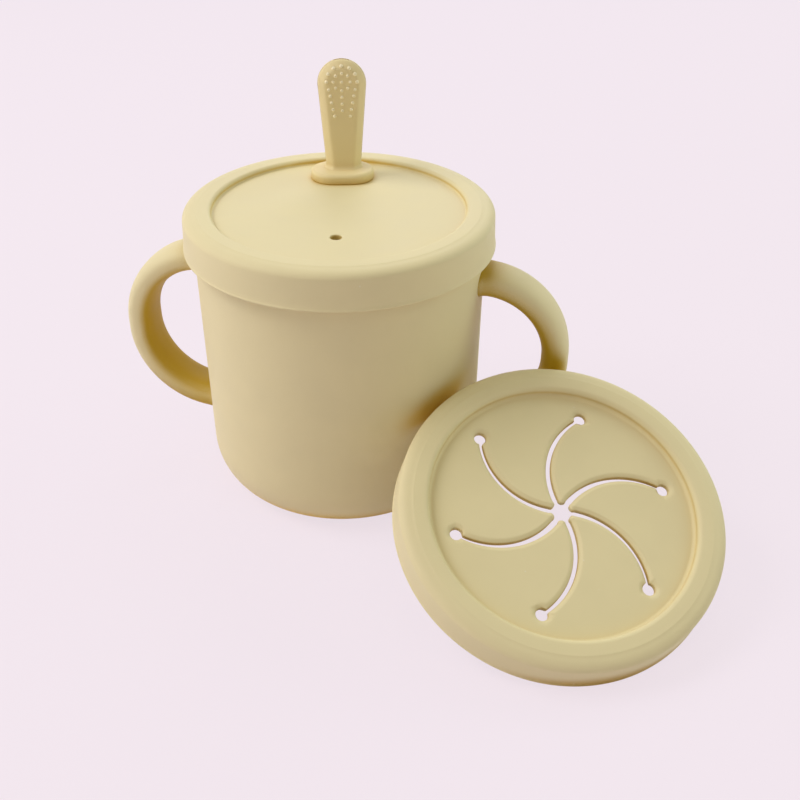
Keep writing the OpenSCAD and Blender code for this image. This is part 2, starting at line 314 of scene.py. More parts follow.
# the handles get a darker painted shade that reaches further, for their shaded insides
handleSkin = dict(cupSkin, ShadeGold=(0.50, 0.32, 0.008), Start=0.90, End=0.52, Reach=0.045)
lidSkin = dict(cupSkin, ShadeGold=(0.64, 0.43, 0.07), Start=0.90, End=0.35, Reach=0.009, lint=0.5)
snackSkin = dict(cupSkin, ShadeGold=(0.58, 0.38, 0.06), Start=0.88, End=0.35, Reach=0.007, lint=0.5)
strawSkin = dict(
    cupSkin, Lit=(0.83, 0.70, 0.38), ShadeGold=(0.58, 0.38, 0.07), Start=0.80, End=0.35, Reach=0.006, lint=0.2,
)
# Painted highlight: the gum dots are painted lighter than the straw, and take less painted shade, to stand
# for the light they catch
dotHighlightSkin = dict(strawSkin, Lit=(0.95, 0.86, 0.58), Start=0.6)
cupSilicone = siliconeMaterial("cupSilicone", cupSkin)
handleSilicone = siliconeMaterial("handleSilicone", handleSkin)
lidSilicone = siliconeMaterial("drinkingLidSilicone", lidSkin)
snackSilicone = siliconeMaterial("snackLidSilicone", snackSkin)
strawSilicone = siliconeMaterial("strawSilicone", strawSkin)
dotHighlightSilicone = siliconeMaterial("dotHighlightSilicone", dotHighlightSkin)
print("silicone materials ready")


# Cup

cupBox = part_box("cup_body")
cup = {
    "height": cupBox[1].z / mm,
    "rimR": cupBox[1].x / mm,
    "draft": 0.6,             # how much narrower the wall is at the base than at the rim
    "wall": 3.0,
    "floor": 4.2,
    "baseRoundHigh": 14.0,    # the big base round is a tall quarter ellipse
    "baseRoundWide": 10.6,
    "innerRound": 8.0,
    "rimRound": 1.2,
    "wallRows": 40,
    "roundRows": 40,
    "innerRows": 24,
    "rimRows": 12,
    "baseRows": 10,
    "floorRows": 12,
    "segments": 256,
}


def cupWallRadius(z):
    # Outer radius of the straight wall at height z: a line from the big base round up to the rim
    low, high = cup["baseRoundHigh"], cup["height"] - cup["rimRound"]
    return cup["rimR"] - cup["draft"] * (high - np.clip(z, low, high)) / (high - low)


def buildCup():
    # A closed profile goes up the outside, over the rim and down the inside, then round the axis
    baseR = cup["rimR"] - cup["draft"]
    innerR = baseR - cup["wall"]
    wide, tall, inner, rim = cup["baseRoundWide"], cup["baseRoundHigh"], cup["innerRound"], cup["rimRound"]
    high = cup["height"] - rim
    slope = cup["draft"] / (high - tall)
    wallZ = np.linspace(tall, high, cup["wallRows"])[1:-1]
    insideZ = np.linspace(high, cup["floor"] + inner, cup["wallRows"])[1:-1]
    mouthR = cup["rimR"] - cup["wall"]
    under = np.linspace(0, baseR - wide, cup["baseRows"])[:-1]
    floor = np.linspace(innerR - inner, 0, cup["floorRows"])[1:]
    profile = np.vstack([
        np.stack([under, 0 * under], -1),
        arcPoints(baseR - wide, tall, wide, tall, -90, 0, cup["roundRows"]),
        np.stack([cupWallRadius(wallZ), wallZ], -1),
        arcPoints(cup["rimR"] - rim, high, rim, rim, 0, 90, cup["rimRows"]),
        arcPoints(mouthR + rim, high, rim, rim, 90, 180, cup["rimRows"]),
        np.stack([mouthR - slope * (high - insideZ), insideZ], -1),
        arcPoints(innerR - inner, cup["floor"] + inner, inner, inner, 0, -90, cup["innerRows"]),
        np.stack([floor, np.full_like(floor, cup["floor"])], -1),
    ])
    points, quads = revolve(profile, cup["segments"])
    piece = makePiece("cupShell", points, quads, cupSilicone)
    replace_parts(piece, "cup_body")
    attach(piece, "cup")
    return piece


buildCup()
print("cup shell made")


# Handles

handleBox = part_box("handle_right")
handle = {
    "middleZ": (handleBox[0].z + handleBox[1].z) / 2 / mm,
    "bendR": 22.9,
    "run": 2.4,               # straight part between the two turns
    "thick": 8.0,
    "wide": 14.4,
    "square": 2.4,            # power of the oval: 2 is an ellipse, more is squarer
    "rootFlare": 0.1,         # share that it widens by at the wall
    "rootReach": 1.2,         # distance over which that dies away
    "pastWall": 4.5,          # degrees that each turn goes on into the wall
    "leftBend": 2.0,          # degrees
    "steps": 64,
    "around": 80,
}


def buildHandle(name, side, bend):
    # A squarish oval carried round two quarter turns with a short run between them; it widens a
    # little where it meets the wall. side is 1 on +X and -1 for the mirror image.
    rootX = cup["rimR"] - cup["draft"]
    loopR, half = handle["bendR"], handle["run"] / 2
    end = 90 + handle["pastWall"]
    quarter = np.linspace(0, end, handle["steps"])
    sweep = np.radians(np.concatenate([-quarter[::-1], quarter]))
    lift = np.repeat([-half, half], handle["steps"])
    outward = np.stack([np.cos(sweep), np.sin(sweep)], -1)
    middle = loopR * outward + np.stack([np.full_like(lift, rootX), handle["middleZ"] + lift], -1)
    t = np.linspace(0, turn, handle["around"], endpoint=False)
    power = 2 / handle["square"]
    across = handle["thick"] / 2 * np.sign(np.cos(t)) * np.abs(np.cos(t)) ** power
    deep = handle["wide"] / 2 * np.sign(np.sin(t)) * np.abs(np.sin(t)) ** power
    x = middle[:, :1] + outward[:, :1] * across
    y = np.repeat(deep[None, :], len(middle), 0)
    z = middle[:, 1:] + outward[:, 1:] * across
    fromWall = np.clip(np.hypot(x, y) - cupWallRadius(z), 0, None)
    flare = 1 + handle["rootFlare"] * np.exp(-fromWall / handle["rootReach"])
    x = middle[:, :1] + outward[:, :1] * across * flare
    z = middle[:, 1:] + outward[:, 1:] * across * flare
    points = np.stack([side * x, y * flare, z], -1)
    ends = np.repeat(points[[0, -1]].mean(1)[:, None, :], handle["around"], 1)
    points = np.concatenate([ends[:1], points, ends[1:]])
    quads = gridFaces(len(points), handle["around"], True)
    piece = makePiece(name, turned(points.reshape(-1, 3), -bend), quads, handleSilicone)
    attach(piece, "cup")
    return piece


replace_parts(buildHandle("rightHandle", 1, 0), "handle_right")
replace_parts(buildHandle("leftHandle", -1, handle["leftBend"]), "handle_left")
print("handles made")


# Lids: both are one surface, rows from the middle of the top out over the rim and back in under it

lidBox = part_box("drinking_lid")
lid = {
    "high": (lidBox[1].z - lidBox[0].z) / mm,
    "outerR": 44.0,
    "flare": 0.3,
    "panelR": 36.0,
    "creaseR": 40.4,
    "creaseIn": (1.4, 0.35, 0.2, 0.1),  # rows before the crease: how far inside it, and how deep
    "creaseDeep": (0, 0, 0, 0.04),
    "creaseAngle": 80,        # degrees from level where the shoulder starts
    "shoulder": 2.3,
    "shoulderLift": 0.15,
    "skirtRows": 10,
    "lipRound": 0.42,
    "lipProud": 0.25,
    "lipOut": (0.03, 0.12),   # the skirt's flare into its lip: outwards and up
    "lipUp": (0.95, 0.75),
    "lipTop": 1.2,
    "footIn": (0.7, 0.3, 0.07, 0),  # the skirt's inner foot: from its inside wall and up
    "footUp": (0, 0.05, 0.2, 0.5),
    "fitGap": 0.35,           # room on each side of the cup's wall
    "channel": 8.0,
    "channelEdge": 0.5,
    "plugThin": 0.1,          # the plug ring reaches this much inside the sunk wall
    "plugLow": 2.2,
    "plugRound": 0.8,
    "plugEdge": 0.4,
    "rootRound": 0.6,
    "joinR": 33.0,            # where the flat panel's rows meet the rim's
}


def rimRows(sunk, thick, fillet, edgeRound):
    # Rows of a lid's section past the flat panel: up the sunk wall, over the flat rim to its crease,
    # round the shoulder, down the skirt to its lip, up into the channel, down round the plug ring and
    # up to the panel's underside
    top = lid["high"]
    crease, skirtR = lid["creaseR"], lid["outerR"] + lid["flare"]
    skirtIn = cup["rimR"] + lid["fitGap"]
    plugOut = cup["rimR"] - cup["wall"] - lid["fitGap"]
    plugIn = lid["panelR"] - lid["plugThin"]
    under = top - sunk - thick
    lip, ring, edge, root = lid["lipRound"], lid["plugRound"], lid["plugEdge"], lid["rootRound"]
    channel, corner, low = lid["channel"], lid["channelEdge"], lid["plugLow"]
    shoulderZ, shoulderHigh = top - lid["shoulder"], lid["shoulder"] - lid["shoulderLift"]
    skirtRows = lid["skirtRows"] + 2
    skirt = np.stack([
        np.linspace(lid["outerR"], skirtR, skirtRows),
        np.linspace(shoulderZ, lid["lipTop"], skirtRows),
    ], -1)
    return np.vstack([
        arcPoints(lid["panelR"] - fillet, top - sunk + fillet, fillet, fillet, -90, 0, 10),
        arcPoints(lid["panelR"] + edgeRound, top - edgeRound, edgeRound, edgeRound, 180, 90, 12),
        np.stack([crease - np.array(lid["creaseIn"]), top - np.array(lid["creaseDeep"])], -1),
        arcPoints(crease, shoulderZ, lid["outerR"] - crease, shoulderHigh, lid["creaseAngle"], 0, 16),
        skirt[1:-1],
        np.stack([skirtR + np.array(lid["lipOut"]), lid["lipUp"]], -1),
        arcPoints(skirtR + lid["lipProud"] - lip, lip, lip, lip, 40, -90, 9),
        np.stack([skirtIn + np.array(lid["footIn"]), lid["footUp"]], -1),
        [[skirtIn, channel - corner], [skirtIn - corner, channel]],
        [[plugOut + corner, channel], [plugOut, channel - corner], [plugOut, low + ring]],
        arcPoints(plugOut - ring, low + ring, ring, ring, 0, -90, 6)[1:],
        [[plugIn + edge, low], [plugIn + edge / 4, low + edge / 4], [plugIn, low + edge]],
        [[plugIn, under - root], [plugIn - root / 3, under - root / 4], [plugIn - root, under]],
    ])


def holeHalfAngle(r, at, radius):
    # Half the angle that a round hole, at a distance from the middle, takes up at radius r
    inside = np.abs(r - at) < radius
    c = (r ** 2 + at ** 2 - radius ** 2) / np.maximum(2 * r * at, 1e-9)
    return np.where(inside, np.arccos(np.clip(c, -1, 1)), 0)


def borderDrop(distance, wide, deep):
    # Fall of a soft border along a slit: a smooth step, flat at its outer side and at the slit
    share = np.clip(1 - distance / wide, 0, 1)
    return deep * share ** 2 * (3 - 2 * share)


def crowded(edge):
    # Distances in from a rounded edge, close together where it falls away fastest
    return edge * np.array([0, 0.03, 0.11, 0.24, 0.42, 0.66, 1.0])


def spreadAcross(low, high, r, edge, count):
    # Angles across each row, from low to high: crowded in the rounded edges, even between them
    width = np.maximum((high - low) * r, 1e-6)
    near = crowded(edge)[None, :] * np.minimum(1, width / (2.8 * edge))[:, None]
    middle = near[:, -1:] + (width[:, None] - 2 * near[:, -1:]) * np.linspace(0, 1, count)[None, 1:-1]
    places = np.hstack([near, middle, width[:, None] - near[:, ::-1]])
    return low[:, None] + (high - low)[:, None] * places / width[:, None]


drink = {
    "sunk": 1.8,
    "panelThick": 2.4,
    "fillet": 0.6,
    "edgeRound": 1.1,
    "turn": 9.3,              # degrees
    "ventAt": 18.8,
    "ventR": 1.6,
    "strawAt": 26.4,
    "strawHoleR": 4.4,
    "edge": 0.35,
    "evenTo": 16.5,           # the panel's plain rows: even ones out to here, then restRows
    "evenRows": 18,
    "restRows": (20.9, 21.4, 31.4, 32.2),
    "clear": 0.3,             # plain rows keep this far from the straw's hole
    "poleR": 0.02,            # radius that stands in for zero in the middle row
    "columns": 120,
}


def holeRows(at, radius, edge):
    # Radii that follow a round hole: its near edge, even turns round it, its far edge
    return np.concatenate([
        at - radius - crowded(edge)[::-1],
        at + radius * np.sin(np.radians(np.linspace(-90, 90, 25)))[1:-1],
        at + radius + crowded(edge),
    ])


def panelRadii():
    # Radii of the panel's rows: even ones inside the vent, a few between and past the holes, and the
    # rows that follow each hole
    at, radius = drink["strawAt"], drink["strawHoleR"]
    even = np.linspace(0, drink["evenTo"], drink["evenRows"])
    plain = np.concatenate([even, drink["restRows"], [lid["joinR"]]])
    plain = plain[np.abs(plain - at) > radius + drink["clear"]]
    vent = holeRows(drink["ventAt"], drink["ventR"], drink["edge"])
    straw = holeRows(at, radius, drink["edge"])
    return np.unique(np.round(np.concatenate([plain, vent, straw]), 5))


def buildDrinkingLid():
    # Two half turns, from the vent's line to the straw's line; each side bulges round its hole. On
    # the panel the surface falls away by edgeDrop at its distance from the nearer hole.
    top = lid["high"] - drink["sunk"]
    panelR = panelRadii()
    panel = len(panelR)
    rim = rimRows(drink["sunk"], drink["panelThick"], drink["fillet"], drink["edgeRound"])
    rows = np.vstack([
        np.stack([panelR, np.full(panel, top)], -1),
        rim,
        np.stack([panelR[::-1], np.full(panel, top - drink["panelThick"])], -1),
    ])
    r, z = rows[:, 0], rows[:, 1]
    count = len(rows)
    flat = np.zeros(count)                # -1 on the panel's top, 1 on its underside, 0 on the rim
    flat[:panel] = -1
    flat[-panel:] = 1
    ventHalf = np.where(flat, holeHalfAngle(r, drink["ventAt"], drink["ventR"]), 0)
    strawHalf = np.where(flat, holeHalfAngle(r, drink["strawAt"], drink["strawHoleR"]), 0)
    halves = (
        (-turn / 4 + ventHalf, turn / 4 - strawHalf, ventHalf, strawHalf),
        (turn / 4 + strawHalf, 3 * turn / 4 - ventHalf, strawHalf, ventHalf),
    )
    allPoints, allQuads, start = [], [], 0
    for low, high, atLow, atHigh in halves:
        angle = spreadAcross(low, high, np.maximum(r, drink["poleR"]), drink["edge"], drink["columns"])
        xy = r[:, None, None] * np.stack([np.cos(angle), np.sin(angle)], -1)
        fromVent = np.linalg.norm(xy - [0, -drink["ventAt"]], axis=-1) - drink["ventR"]
        fromStraw = np.linalg.norm(xy - [0, drink["strawAt"]], axis=-1) - drink["strawHoleR"]
        gap = np.clip(np.minimum(fromVent, fromStraw), 0, None)
        drop = edgeDrop(gap, drink["edge"]) * flat[:, None]
        allPoints.append(np.concatenate([xy, (z[:, None] + drop)[..., None]], -1).reshape(-1, 3))
        cols = angle.shape[1]
        allQuads.append(gridFaces(count, cols, start=start))
        for column, opening in ((0, atLow), (cols - 1, atHigh)):
            k = np.arange(panel - 1)
            k = k[(opening[k] > 0) | (opening[k + 1] > 0)]
            other = count - 1 - k
            allQuads.append(start + column + cols * np.stack([k, k + 1, other - 1, other], -1))
        start += count * cols
    points = np.vstack(allPoints)
    points[:, 2] += lidBox[0].z / mm
    piece = makePiece("drinkingLidShell", turned(points, drink["turn"]), np.vstack(allQuads), lidSilicone)
    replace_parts(piece, "drinking_lid")
    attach(piece, "drinking_lid")
    return piece


buildDrinkingLid()
print("drinking lid made")


# Straw

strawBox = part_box("straw")
straw = {
    "turn": 3.0,              # degrees, added to the lid's
    "collarFront": 1.8,       # how far the collar's middle lies in front of the paddle
    "collarLeft": 0.4,
    "collarWide": 18.8,
    "collarDeep": 13.4,
    "collarThick": 2.9,
    "collarEdge": 1.1,
    "collarFoot": 0.25,
    "paddleHigh": 31.8,
    "footWide": 10.3,
    "wide": 14.1,
    "footThick": 6.8,
    "tipThick": 5.6,
    "bevelWide": 2.3,
    "frontShare": 0.1,        # where the slant meets the front, as a share of the bevel's width
    "sideShare": 0.3,         # and the side, as a share of the half thickness
    "softness": 12,           # power of the mean; more is crisper
    "thinShare": 0.7,         # share of the height over which the paddle thins
    "footFlare": 0.7,         # flare where the paddle meets the collar, and its reach
    "footReach": 0.35,
    "overlap": 0.4,           # how far paddle and neck go into the collar
    "valveLong": 4.4,
    "valveWide": 0.3,
    "valveDeep": 2.4,
    "sharpAngle": 60,
    "valveEnd": 0.05,         # small step round the slit, at its ends and its sides
    "tubeR": 3.9,
    "neckR": 4.1,
    "boreR": 1.8,
    "neckEdge": 0.1,
    "tubeEdge": 0.4,
    "boreEdge": 0.3,
    "tubeRow": 20,            # plain rows along the outside and the bore, from the ends
    "boreRow": 30,
    "around": 96,
    "tipZ": strawBox[1].z / mm,
    "tubeZ": strawBox[0].z / mm,
}
straw["footZ"] = straw["tipZ"] - straw["paddleHigh"]
strawWay = Matrix.Rotation(math.radians(drink["turn"]), 3, "Z") @ Vector((0, drink["strawAt"], 0))


def placeOnStraw(points):
    # From the straw's own axes, paddle facing -Y, to its place in the drinking lid
    return turned(points, drink["turn"] + straw["turn"]) + np.array([strawWay.x, strawWay.y, 0])


def paddleHalfWide(z):
    # Half the width: a straight taper up to the round end, whose radius it keeps from there on
    middle = straw["paddleHigh"] - straw["wide"] / 2
    return straw["footWide"] / 2 + (straw["wide"] - straw["footWide"]) / 2 * np.clip(z / middle, 0, 1)


def paddleHalfThick(z):
    # Half the thickness of the flat part: thins over the lower part, then stays the same
    share = np.clip(z / (straw["thinShare"] * straw["paddleHigh"]), 0, 1)
    return (straw["footThick"] + (straw["tipThick"] - straw["footThick"]) * share) / 2


def bevelRows(count):
    # Quarter outline of the soft bevel, front face to side: how far in from the edge, as a share of
    # the bevel's width, and how far out, as a share of the half thickness. Three planes, the front,
    # the slant and the side, are made one soft line by a high power mean.
    a = np.radians(np.linspace(90, 0, count))
    direction = np.stack([np.cos(a), np.sin(a)], -1)
    slant = np.array([1 - straw["sideShare"], 1 - straw["frontShare"]])
    slant = slant / np.linalg.norm(slant)
    slantOut = slant @ np.array([straw["frontShare"], 1])
    planes = ((np.array([1, 0]), 1), (np.array([0, 1]), 1), (slant, slantOut))
    power = straw["softness"]
    total = sum(np.clip(direction @ facing / out, 0, None) ** power for facing, out in planes)
    reach = direction * (total ** (-1 / power))[:, None]
    return 1 - reach[:, 0], reach[:, 1]


def buildPaddle():
    # Lines run in from the outline to a spine up the middle, and fan round the spine's top end. The
    # foot flares into the collar and dies away upwards by an exponential. The same lines, mirrored,
    # make the back; where they meet in the tip's edge, a slit sunk straight down is the valve.
    r = straw["wide"] / 2
    spineTop = straw["paddleHigh"] - r
    z = np.concatenate([[-straw["overlap"], 0, 0.12, 0.3, 0.6, 1.0], np.linspace(1.5, spineTop, 28)])
    foot = straw["footFlare"] * np.exp(-np.clip(z, 0, None) / straw["footReach"])
    half, slitEnd = straw["valveLong"] / 2, straw["valveEnd"]
    slitTurns = np.arccos(np.array([half, half + slitEnd, -half, -half - slitEnd]) / r)
    over = np.sort(np.concatenate([np.linspace(0, turn / 2, 65)[1:-1], slitTurns]))
    outline = np.vstack([
        np.stack([paddleHalfWide(z) + foot, z], -1),
        np.stack([r * np.cos(over), spineTop + r * np.sin(over)], -1),
        np.stack([-paddleHalfWide(z) - foot, z], -1)[::-1],
    ])
    spine = np.stack([0 * outline[:, 0], np.minimum(outline[:, 1], spineTop)], -1)
    reach = np.linalg.norm(outline - spine, axis=1)[:, None]
    thick = paddleHalfThick(spine[:, 1:]) + np.concatenate([foot, 0 * over, foot[::-1]])[:, None]
    inset, height = bevelRows(17)
    flat = np.linspace(1, 0, 9)[:-1]
    bevel = np.minimum(straw["bevelWide"], 0.75 * reach)
    front = np.hstack([bevel + (reach - bevel) * flat, bevel * inset])
    level = np.hstack([thick * np.ones(len(flat)), thick * height])
    slitHalfY = straw["valveWide"] / 2
    slitY = np.array([3 * slitHalfY, slitHalfY + slitEnd, slitHalfY, 0.0])
    front = np.hstack([front, np.zeros((len(reach), len(slitY)))])
    level = np.hstack([level[:, :-1], 0.75 * level[:, -2:-1], np.tile(slitY, (len(reach), 1))])
    front = np.hstack([front, front[:, -2::-1]])
    level = np.hstack([level, -level[:, -2::-1]])
    share = (1 - front / reach)[..., None]
    place = spine[:, None, :] + (outline - spine)[:, None, :] * share
    inSlit = (np.abs(level) < slitHalfY + 0.01) & (np.abs(place[..., 0]) < half + 0.01)
    inSlit &= place[..., 1] > spineTop + 1
    points = np.stack([place[..., 0], -level, place[..., 1] - straw["valveDeep"] * inSlit], -1)
    rows, cols = level.shape
    c = np.arange(cols - 1)
    cap = np.stack([c, c + 1, (rows - 1) * cols + c + 1, (rows - 1) * cols + c], -1)
    quads = np.vstack([gridFaces(rows, cols), cap])
    points = placeOnStraw(points.reshape(-1, 3) + [0, 0, straw["footZ"]])
    piece = makePiece("strawPaddle", points, quads, strawSilicone, straw["sharpAngle"])
    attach(piece, "straw")
    return piece


def paddleFace(x, z):
    # How far out the front face is at a point: the bevel's height at its distance from the outline
    r = straw["wide"] / 2
    spineTop = straw["paddleHigh"] - r
    fromEdge = paddleHalfWide(z) - np.hypot(x, np.clip(z - spineTop, 0, None))
    inset, height = bevelRows(33)
    return paddleHalfThick(z) * np.interp(fromEdge / straw["bevelWide"], inset[::-1], height[::-1])


def buildCollar():
    # A stadium outline drawn in row by row: up the side, over the rounded top edge, in to the middle
    r = straw["collarDeep"] / 2
    straight = (straw["collarWide"] - straw["collarDeep"]) / 2
    t = np.linspace(0, turn, 160, endpoint=False)
    high, edge, lower = straw["collarThick"], straw["collarEdge"], straw["collarFoot"]
    turnIn = np.radians(np.linspace(0, 90, 10))
    rows = np.vstack([
        [[r, 0.0], [lower, 0.0]],
        np.stack([lower - lower * np.sin(turnIn), lower - lower * np.cos(turnIn)], -1),
        np.stack([edge * (1 - np.cos(turnIn)), high - edge + edge * np.sin(turnIn)], -1),
        [[r / 2, high], [r, high]],
    ])
    inset, z = rows[:, :1], rows[:, 1:]
    shift = np.clip(np.cos(t) * 12, -1, 1) * straight
    x = shift * np.where(inset >= r, 0, 1) + (r - inset) * np.cos(t)
    points = np.stack([x, (r - inset) * np.sin(t), z + 0 * t], -1).reshape(-1, 3)
    points += np.array([-straw["collarLeft"], -straw["collarFront"], straw["footZ"] - high])
    piece = makePiece("strawCollar", placeOnStraw(points), gridFaces(len(rows), len(t), True), strawSilicone)
    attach(piece, "straw")
    return piece


def buildTube():
    # Neck and tube round the bore, as a closed ring of section with small bevels at its edges
    top = straw["footZ"] - straw["collarThick"] + straw["overlap"]
    neckLow = lidBox[1].z / mm - drink["sunk"] - drink["panelThick"]
    neck, r, bore, low = straw["neckR"], straw["tubeR"], straw["boreR"], straw["tubeZ"]
    step, edge, inner, row = straw["neckEdge"], straw["tubeEdge"], straw["boreEdge"], straw["tubeRow"]
    profile = np.array([
        [bore, top], [neck, top], [neck, neckLow + 1.5 * step], [neck - step, neckLow],
        [r, neckLow - step], [r, neckLow - row], [r, low + row], [r, low + edge],
        [r - 0.3 * edge, low + 0.3 * edge], [r - edge, low], [bore + inner, low],
        [bore + 0.08, low + 0.08], [bore, low + inner], [bore, low + straw["boreRow"]], [bore, top],
    ])
    points, quads = revolve(profile, straw["around"])
    piece = makePiece("strawTube", placeOnStraw(points), quads, strawSilicone)
    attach(piece, "straw")
    return piece


dots = {
    "radius": 0.52,
    "proud": 0.48,
    "fromTip": 5.9,
    "ring": 2.45,
    "arc": 4.35,
    "sideX": 3.38,            # top dot of each side column, from the middle dot
    "sideZ": -4.0,
    "middleZ": -4.35,
    "pitch": 1.97,
    "taper": 0.365,           # how much a column moves in with each dot
    "skirtWide": (1.25, 1.08),  # rows round the dome's foot, as shares of its radius and height
    "skirtSunk": (-0.12, -0.02),
    "domeFoot": 0.06,
    "around": 20,
    "rows": 8,
}


def dotPlaces():
    # Middle dot, a ring of eight, an arc of nine, two side columns and a short middle column
    ring = np.radians(np.arange(0, 360, 45))
    arc = np.radians(np.arange(-30, 211, 30))
    k = np.arange(4)
    side = np.stack([dots["sideX"] - dots["taper"] * k, dots["sideZ"] - dots["pitch"] * k], -1)
    return np.vstack([
        [[0, 0]],
        dots["ring"] * np.stack([np.cos(ring), np.sin(ring)], -1),
        dots["arc"] * np.stack([np.cos(arc), np.sin(arc)], -1),
        side,
        side * [-1, 1],
        np.stack([np.zeros(3), dots["middleZ"] - dots["pitch"] * k[:3]], -1),
    ]) + [0, straw["paddleHigh"] - dots["fromTip"]]


def buildDots():
    # Each gum dot is a small dome, sunk into the flat front face with a soft skirt round it
    a = np.linspace(0, turn, dots["around"], endpoint=False)
    lift = np.radians(np.linspace(0, 90, dots["rows"]))
    foot = dots["domeFoot"]
    r = np.concatenate([dots["skirtWide"], np.cos(lift)]) * dots["radius"]
    out = np.concatenate([dots["skirtSunk"], foot + (1 - foot) * np.sin(lift)]) * dots["proud"]
    allPoints, allQuads = [], []
    for x, z in dotPlaces():
        face = float(paddleFace(x, z))
        across, up = x + r[:, None] * np.cos(a), z + r[:, None] * np.sin(a)
        dome = np.stack([across, -face - out[:, None] + 0 * a, up], -1)
        back = np.repeat(dome[:1].mean(1)[:, None, :], len(a), 1)
        dome = np.concatenate([back, dome]).reshape(-1, 3)
        allQuads.append(gridFaces(len(r) + 1, len(a), True, start=len(allPoints) * len(dome)))
        allPoints.append(dome)
    points = placeOnStraw(np.vstack(allPoints) + [0, 0, straw["footZ"]])
    # the dots' material carries a painted highlight
    piece = makePiece("gumDots", points, np.vstack(allQuads), dotHighlightSilicone)
    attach(piece, "straw")
    return piece


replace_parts(buildPaddle(), "straw")
buildCollar()
buildTube()
buildDots()
print("straw made")


# Snack lid

hinges = [j for j in frame["joints"] if j["name"].startswith("flap_")]
snack = {
    "sunk": 2.8,
    "panelThick": 2.2,
    "fillet": 1.1,
    "edgeRound": 1.4,
    "reliefAt": 29.7,
    "reliefR": 1.65,
    "slitCurve": 21.1,        # radius of each slit's circle
    "slitWide": 1.7,
    "slitNarrow": 0.8,
    "tipAt": 3.6,             # distance of each flap's tip circle from the middle
    "edge": 0.4,
    "borderWide": 1.25,       # soft border along every cut
    "borderDeep": 0.5,
    "tipRows": 12,
    "bodyRows": 44,
    "columns": 64,
    "segments": 288,
    "bendOut": 1.4,           # reach of a bend outside the hinge line, and of bendIn inside it; not used
    "bendIn": 3.6,
}


def leaningFrame():
    # The flaps' hinge points lie round the middle of the panel, 60 degrees apart, so their mean and
    # their first two directions give the lid's own axes; relief hole 0 lies on its X axis
    spots = np.array([j["pos_m"] for j in hinges]) / mm
    centre = spots.mean(0)
    first, second = spots[0] - centre, spots[1] - centre
    up = np.cross(second, first)
    up = up / np.linalg.norm(up)
    first = first / np.linalg.norm(first)
    side = np.cross(up, first)
    c, s = math.cos(turn / 12), math.sin(turn / 12)
    x = first * c + side * s
    y = np.cross(up, x)
    origin = centre - up * (lid["high"] - snack["sunk"] - snack["panelThick"] / 2)
    return origin, np.stack([x, y, up])


leanOrigin, leanAxes = leaningFrame()


def placeOnLean(points):
    # From the snack lid's own axes to where it leans
    return points @ leanAxes + leanOrigin


def slitMiddle(r):
    # Angle of a slit's centre line at radius r, past its relief hole's angle: a circle through the
    # middle of the lid, so its heading swings evenly clockwise on the way out
    full = math.asin(snack["reliefAt"] / (2 * snack["slitCurve"]))
    return full - np.arcsin(np.clip(r / (2 * snack["slitCurve"]), 0, 1))


def slitSlope(r):
    # Cosine of the angle between the slit and a line straight out, at radius r
    return np.sqrt(1 - np.clip(r / (2 * snack["slitCurve"]), 0, 0.95) ** 2)


def slitHalf(r):
    # Half the angle that the slit takes up at radius r; it narrows on the way out
    share = np.clip(r / snack["reliefAt"], 0, 1)
    width = snack["slitWide"] + (snack["slitNarrow"] - snack["slitWide"]) * share
    return width / 2 / (np.maximum(r, 0.3) * slitSlope(r))


def flapRows():
    # Radii of a flap's rows, round its tip, along its body, round the relief holes and out to the
    # join, and the radius of its round tip
    tipAt = snack["tipAt"]
    tipR = (tipAt * turn / 6 - 2 * slitHalf(np.array(tipAt)) * tipAt) / 2
    tip = tipAt - tipR * np.cos(np.radians(np.linspace(0, 90, snack["tipRows"])))
    hole = holeRows(snack["reliefAt"], snack["reliefR"], snack["edge"])
    body = np.linspace(tipAt, hole[0], snack["bodyRows"])[1:-1]
    return np.concatenate([tip, body, hole, [lid["joinR"] - 0.5, lid["joinR"]]]), tipR


def flapEdges(r, tipR):
    # Lowest and highest angle of each row, and the angle of the tip: the sides follow the slits,
    # then the holes, then a straight line out, and the tip is a circle
    hole = holeHalfAngle(r, snack["reliefAt"], snack["reliefR"])
    slit = r < snack["reliefAt"]
    middle, half = slitMiddle(r), slitHalf(r)
    side = np.where(slit, middle - half, 0)
    high = np.where(slit & (hole == 0), side, np.minimum(side, -hole))
    low = np.maximum(np.where(slit, middle + half, 0), hole) - turn / 6
    atTip = r < snack["tipAt"]
    tipAngle = slitMiddle(np.array(snack["tipAt"])) - turn / 12
    chord = np.sqrt(np.clip(tipR ** 2 - (r - snack["tipAt"]) ** 2, 0, None)) / np.maximum(r, 0.1)
    return np.where(atTip, tipAngle - chord, low), np.where(atTip, tipAngle + chord, high), tipAngle


def flapGap(r, angle, xy, low, high, tipR, tipAngle):
    # Distance of each point from the nearest cut: a relief hole, a slit's side or the round tip
    nowhere = 99.0
    onSide = ((r < snack["reliefAt"]) & (r >= snack["tipAt"]))[:, None]
    gap = np.full(angle.shape, nowhere)
    for side, sign, holeAngle in ((high, 1, 0), (low, -1, -turn / 6)):
        spot = snack["reliefAt"] * np.array([math.cos(holeAngle), math.sin(holeAngle)])
        gap = np.minimum(gap, np.linalg.norm(xy - spot, axis=-1) - snack["reliefR"])
        across = sign * (side[:, None] - angle) * r[:, None] * slitSlope(r)[:, None]
        gap = np.minimum(gap, np.where(onSide, across, nowhere))
    tipSpot = snack["tipAt"] * np.array([math.cos(tipAngle), math.sin(tipAngle)])
    gap = np.where((r < snack["tipAt"])[:, None], tipR - np.linalg.norm(xy - tipSpot, axis=-1), gap)
    return np.clip(gap, 0, None)


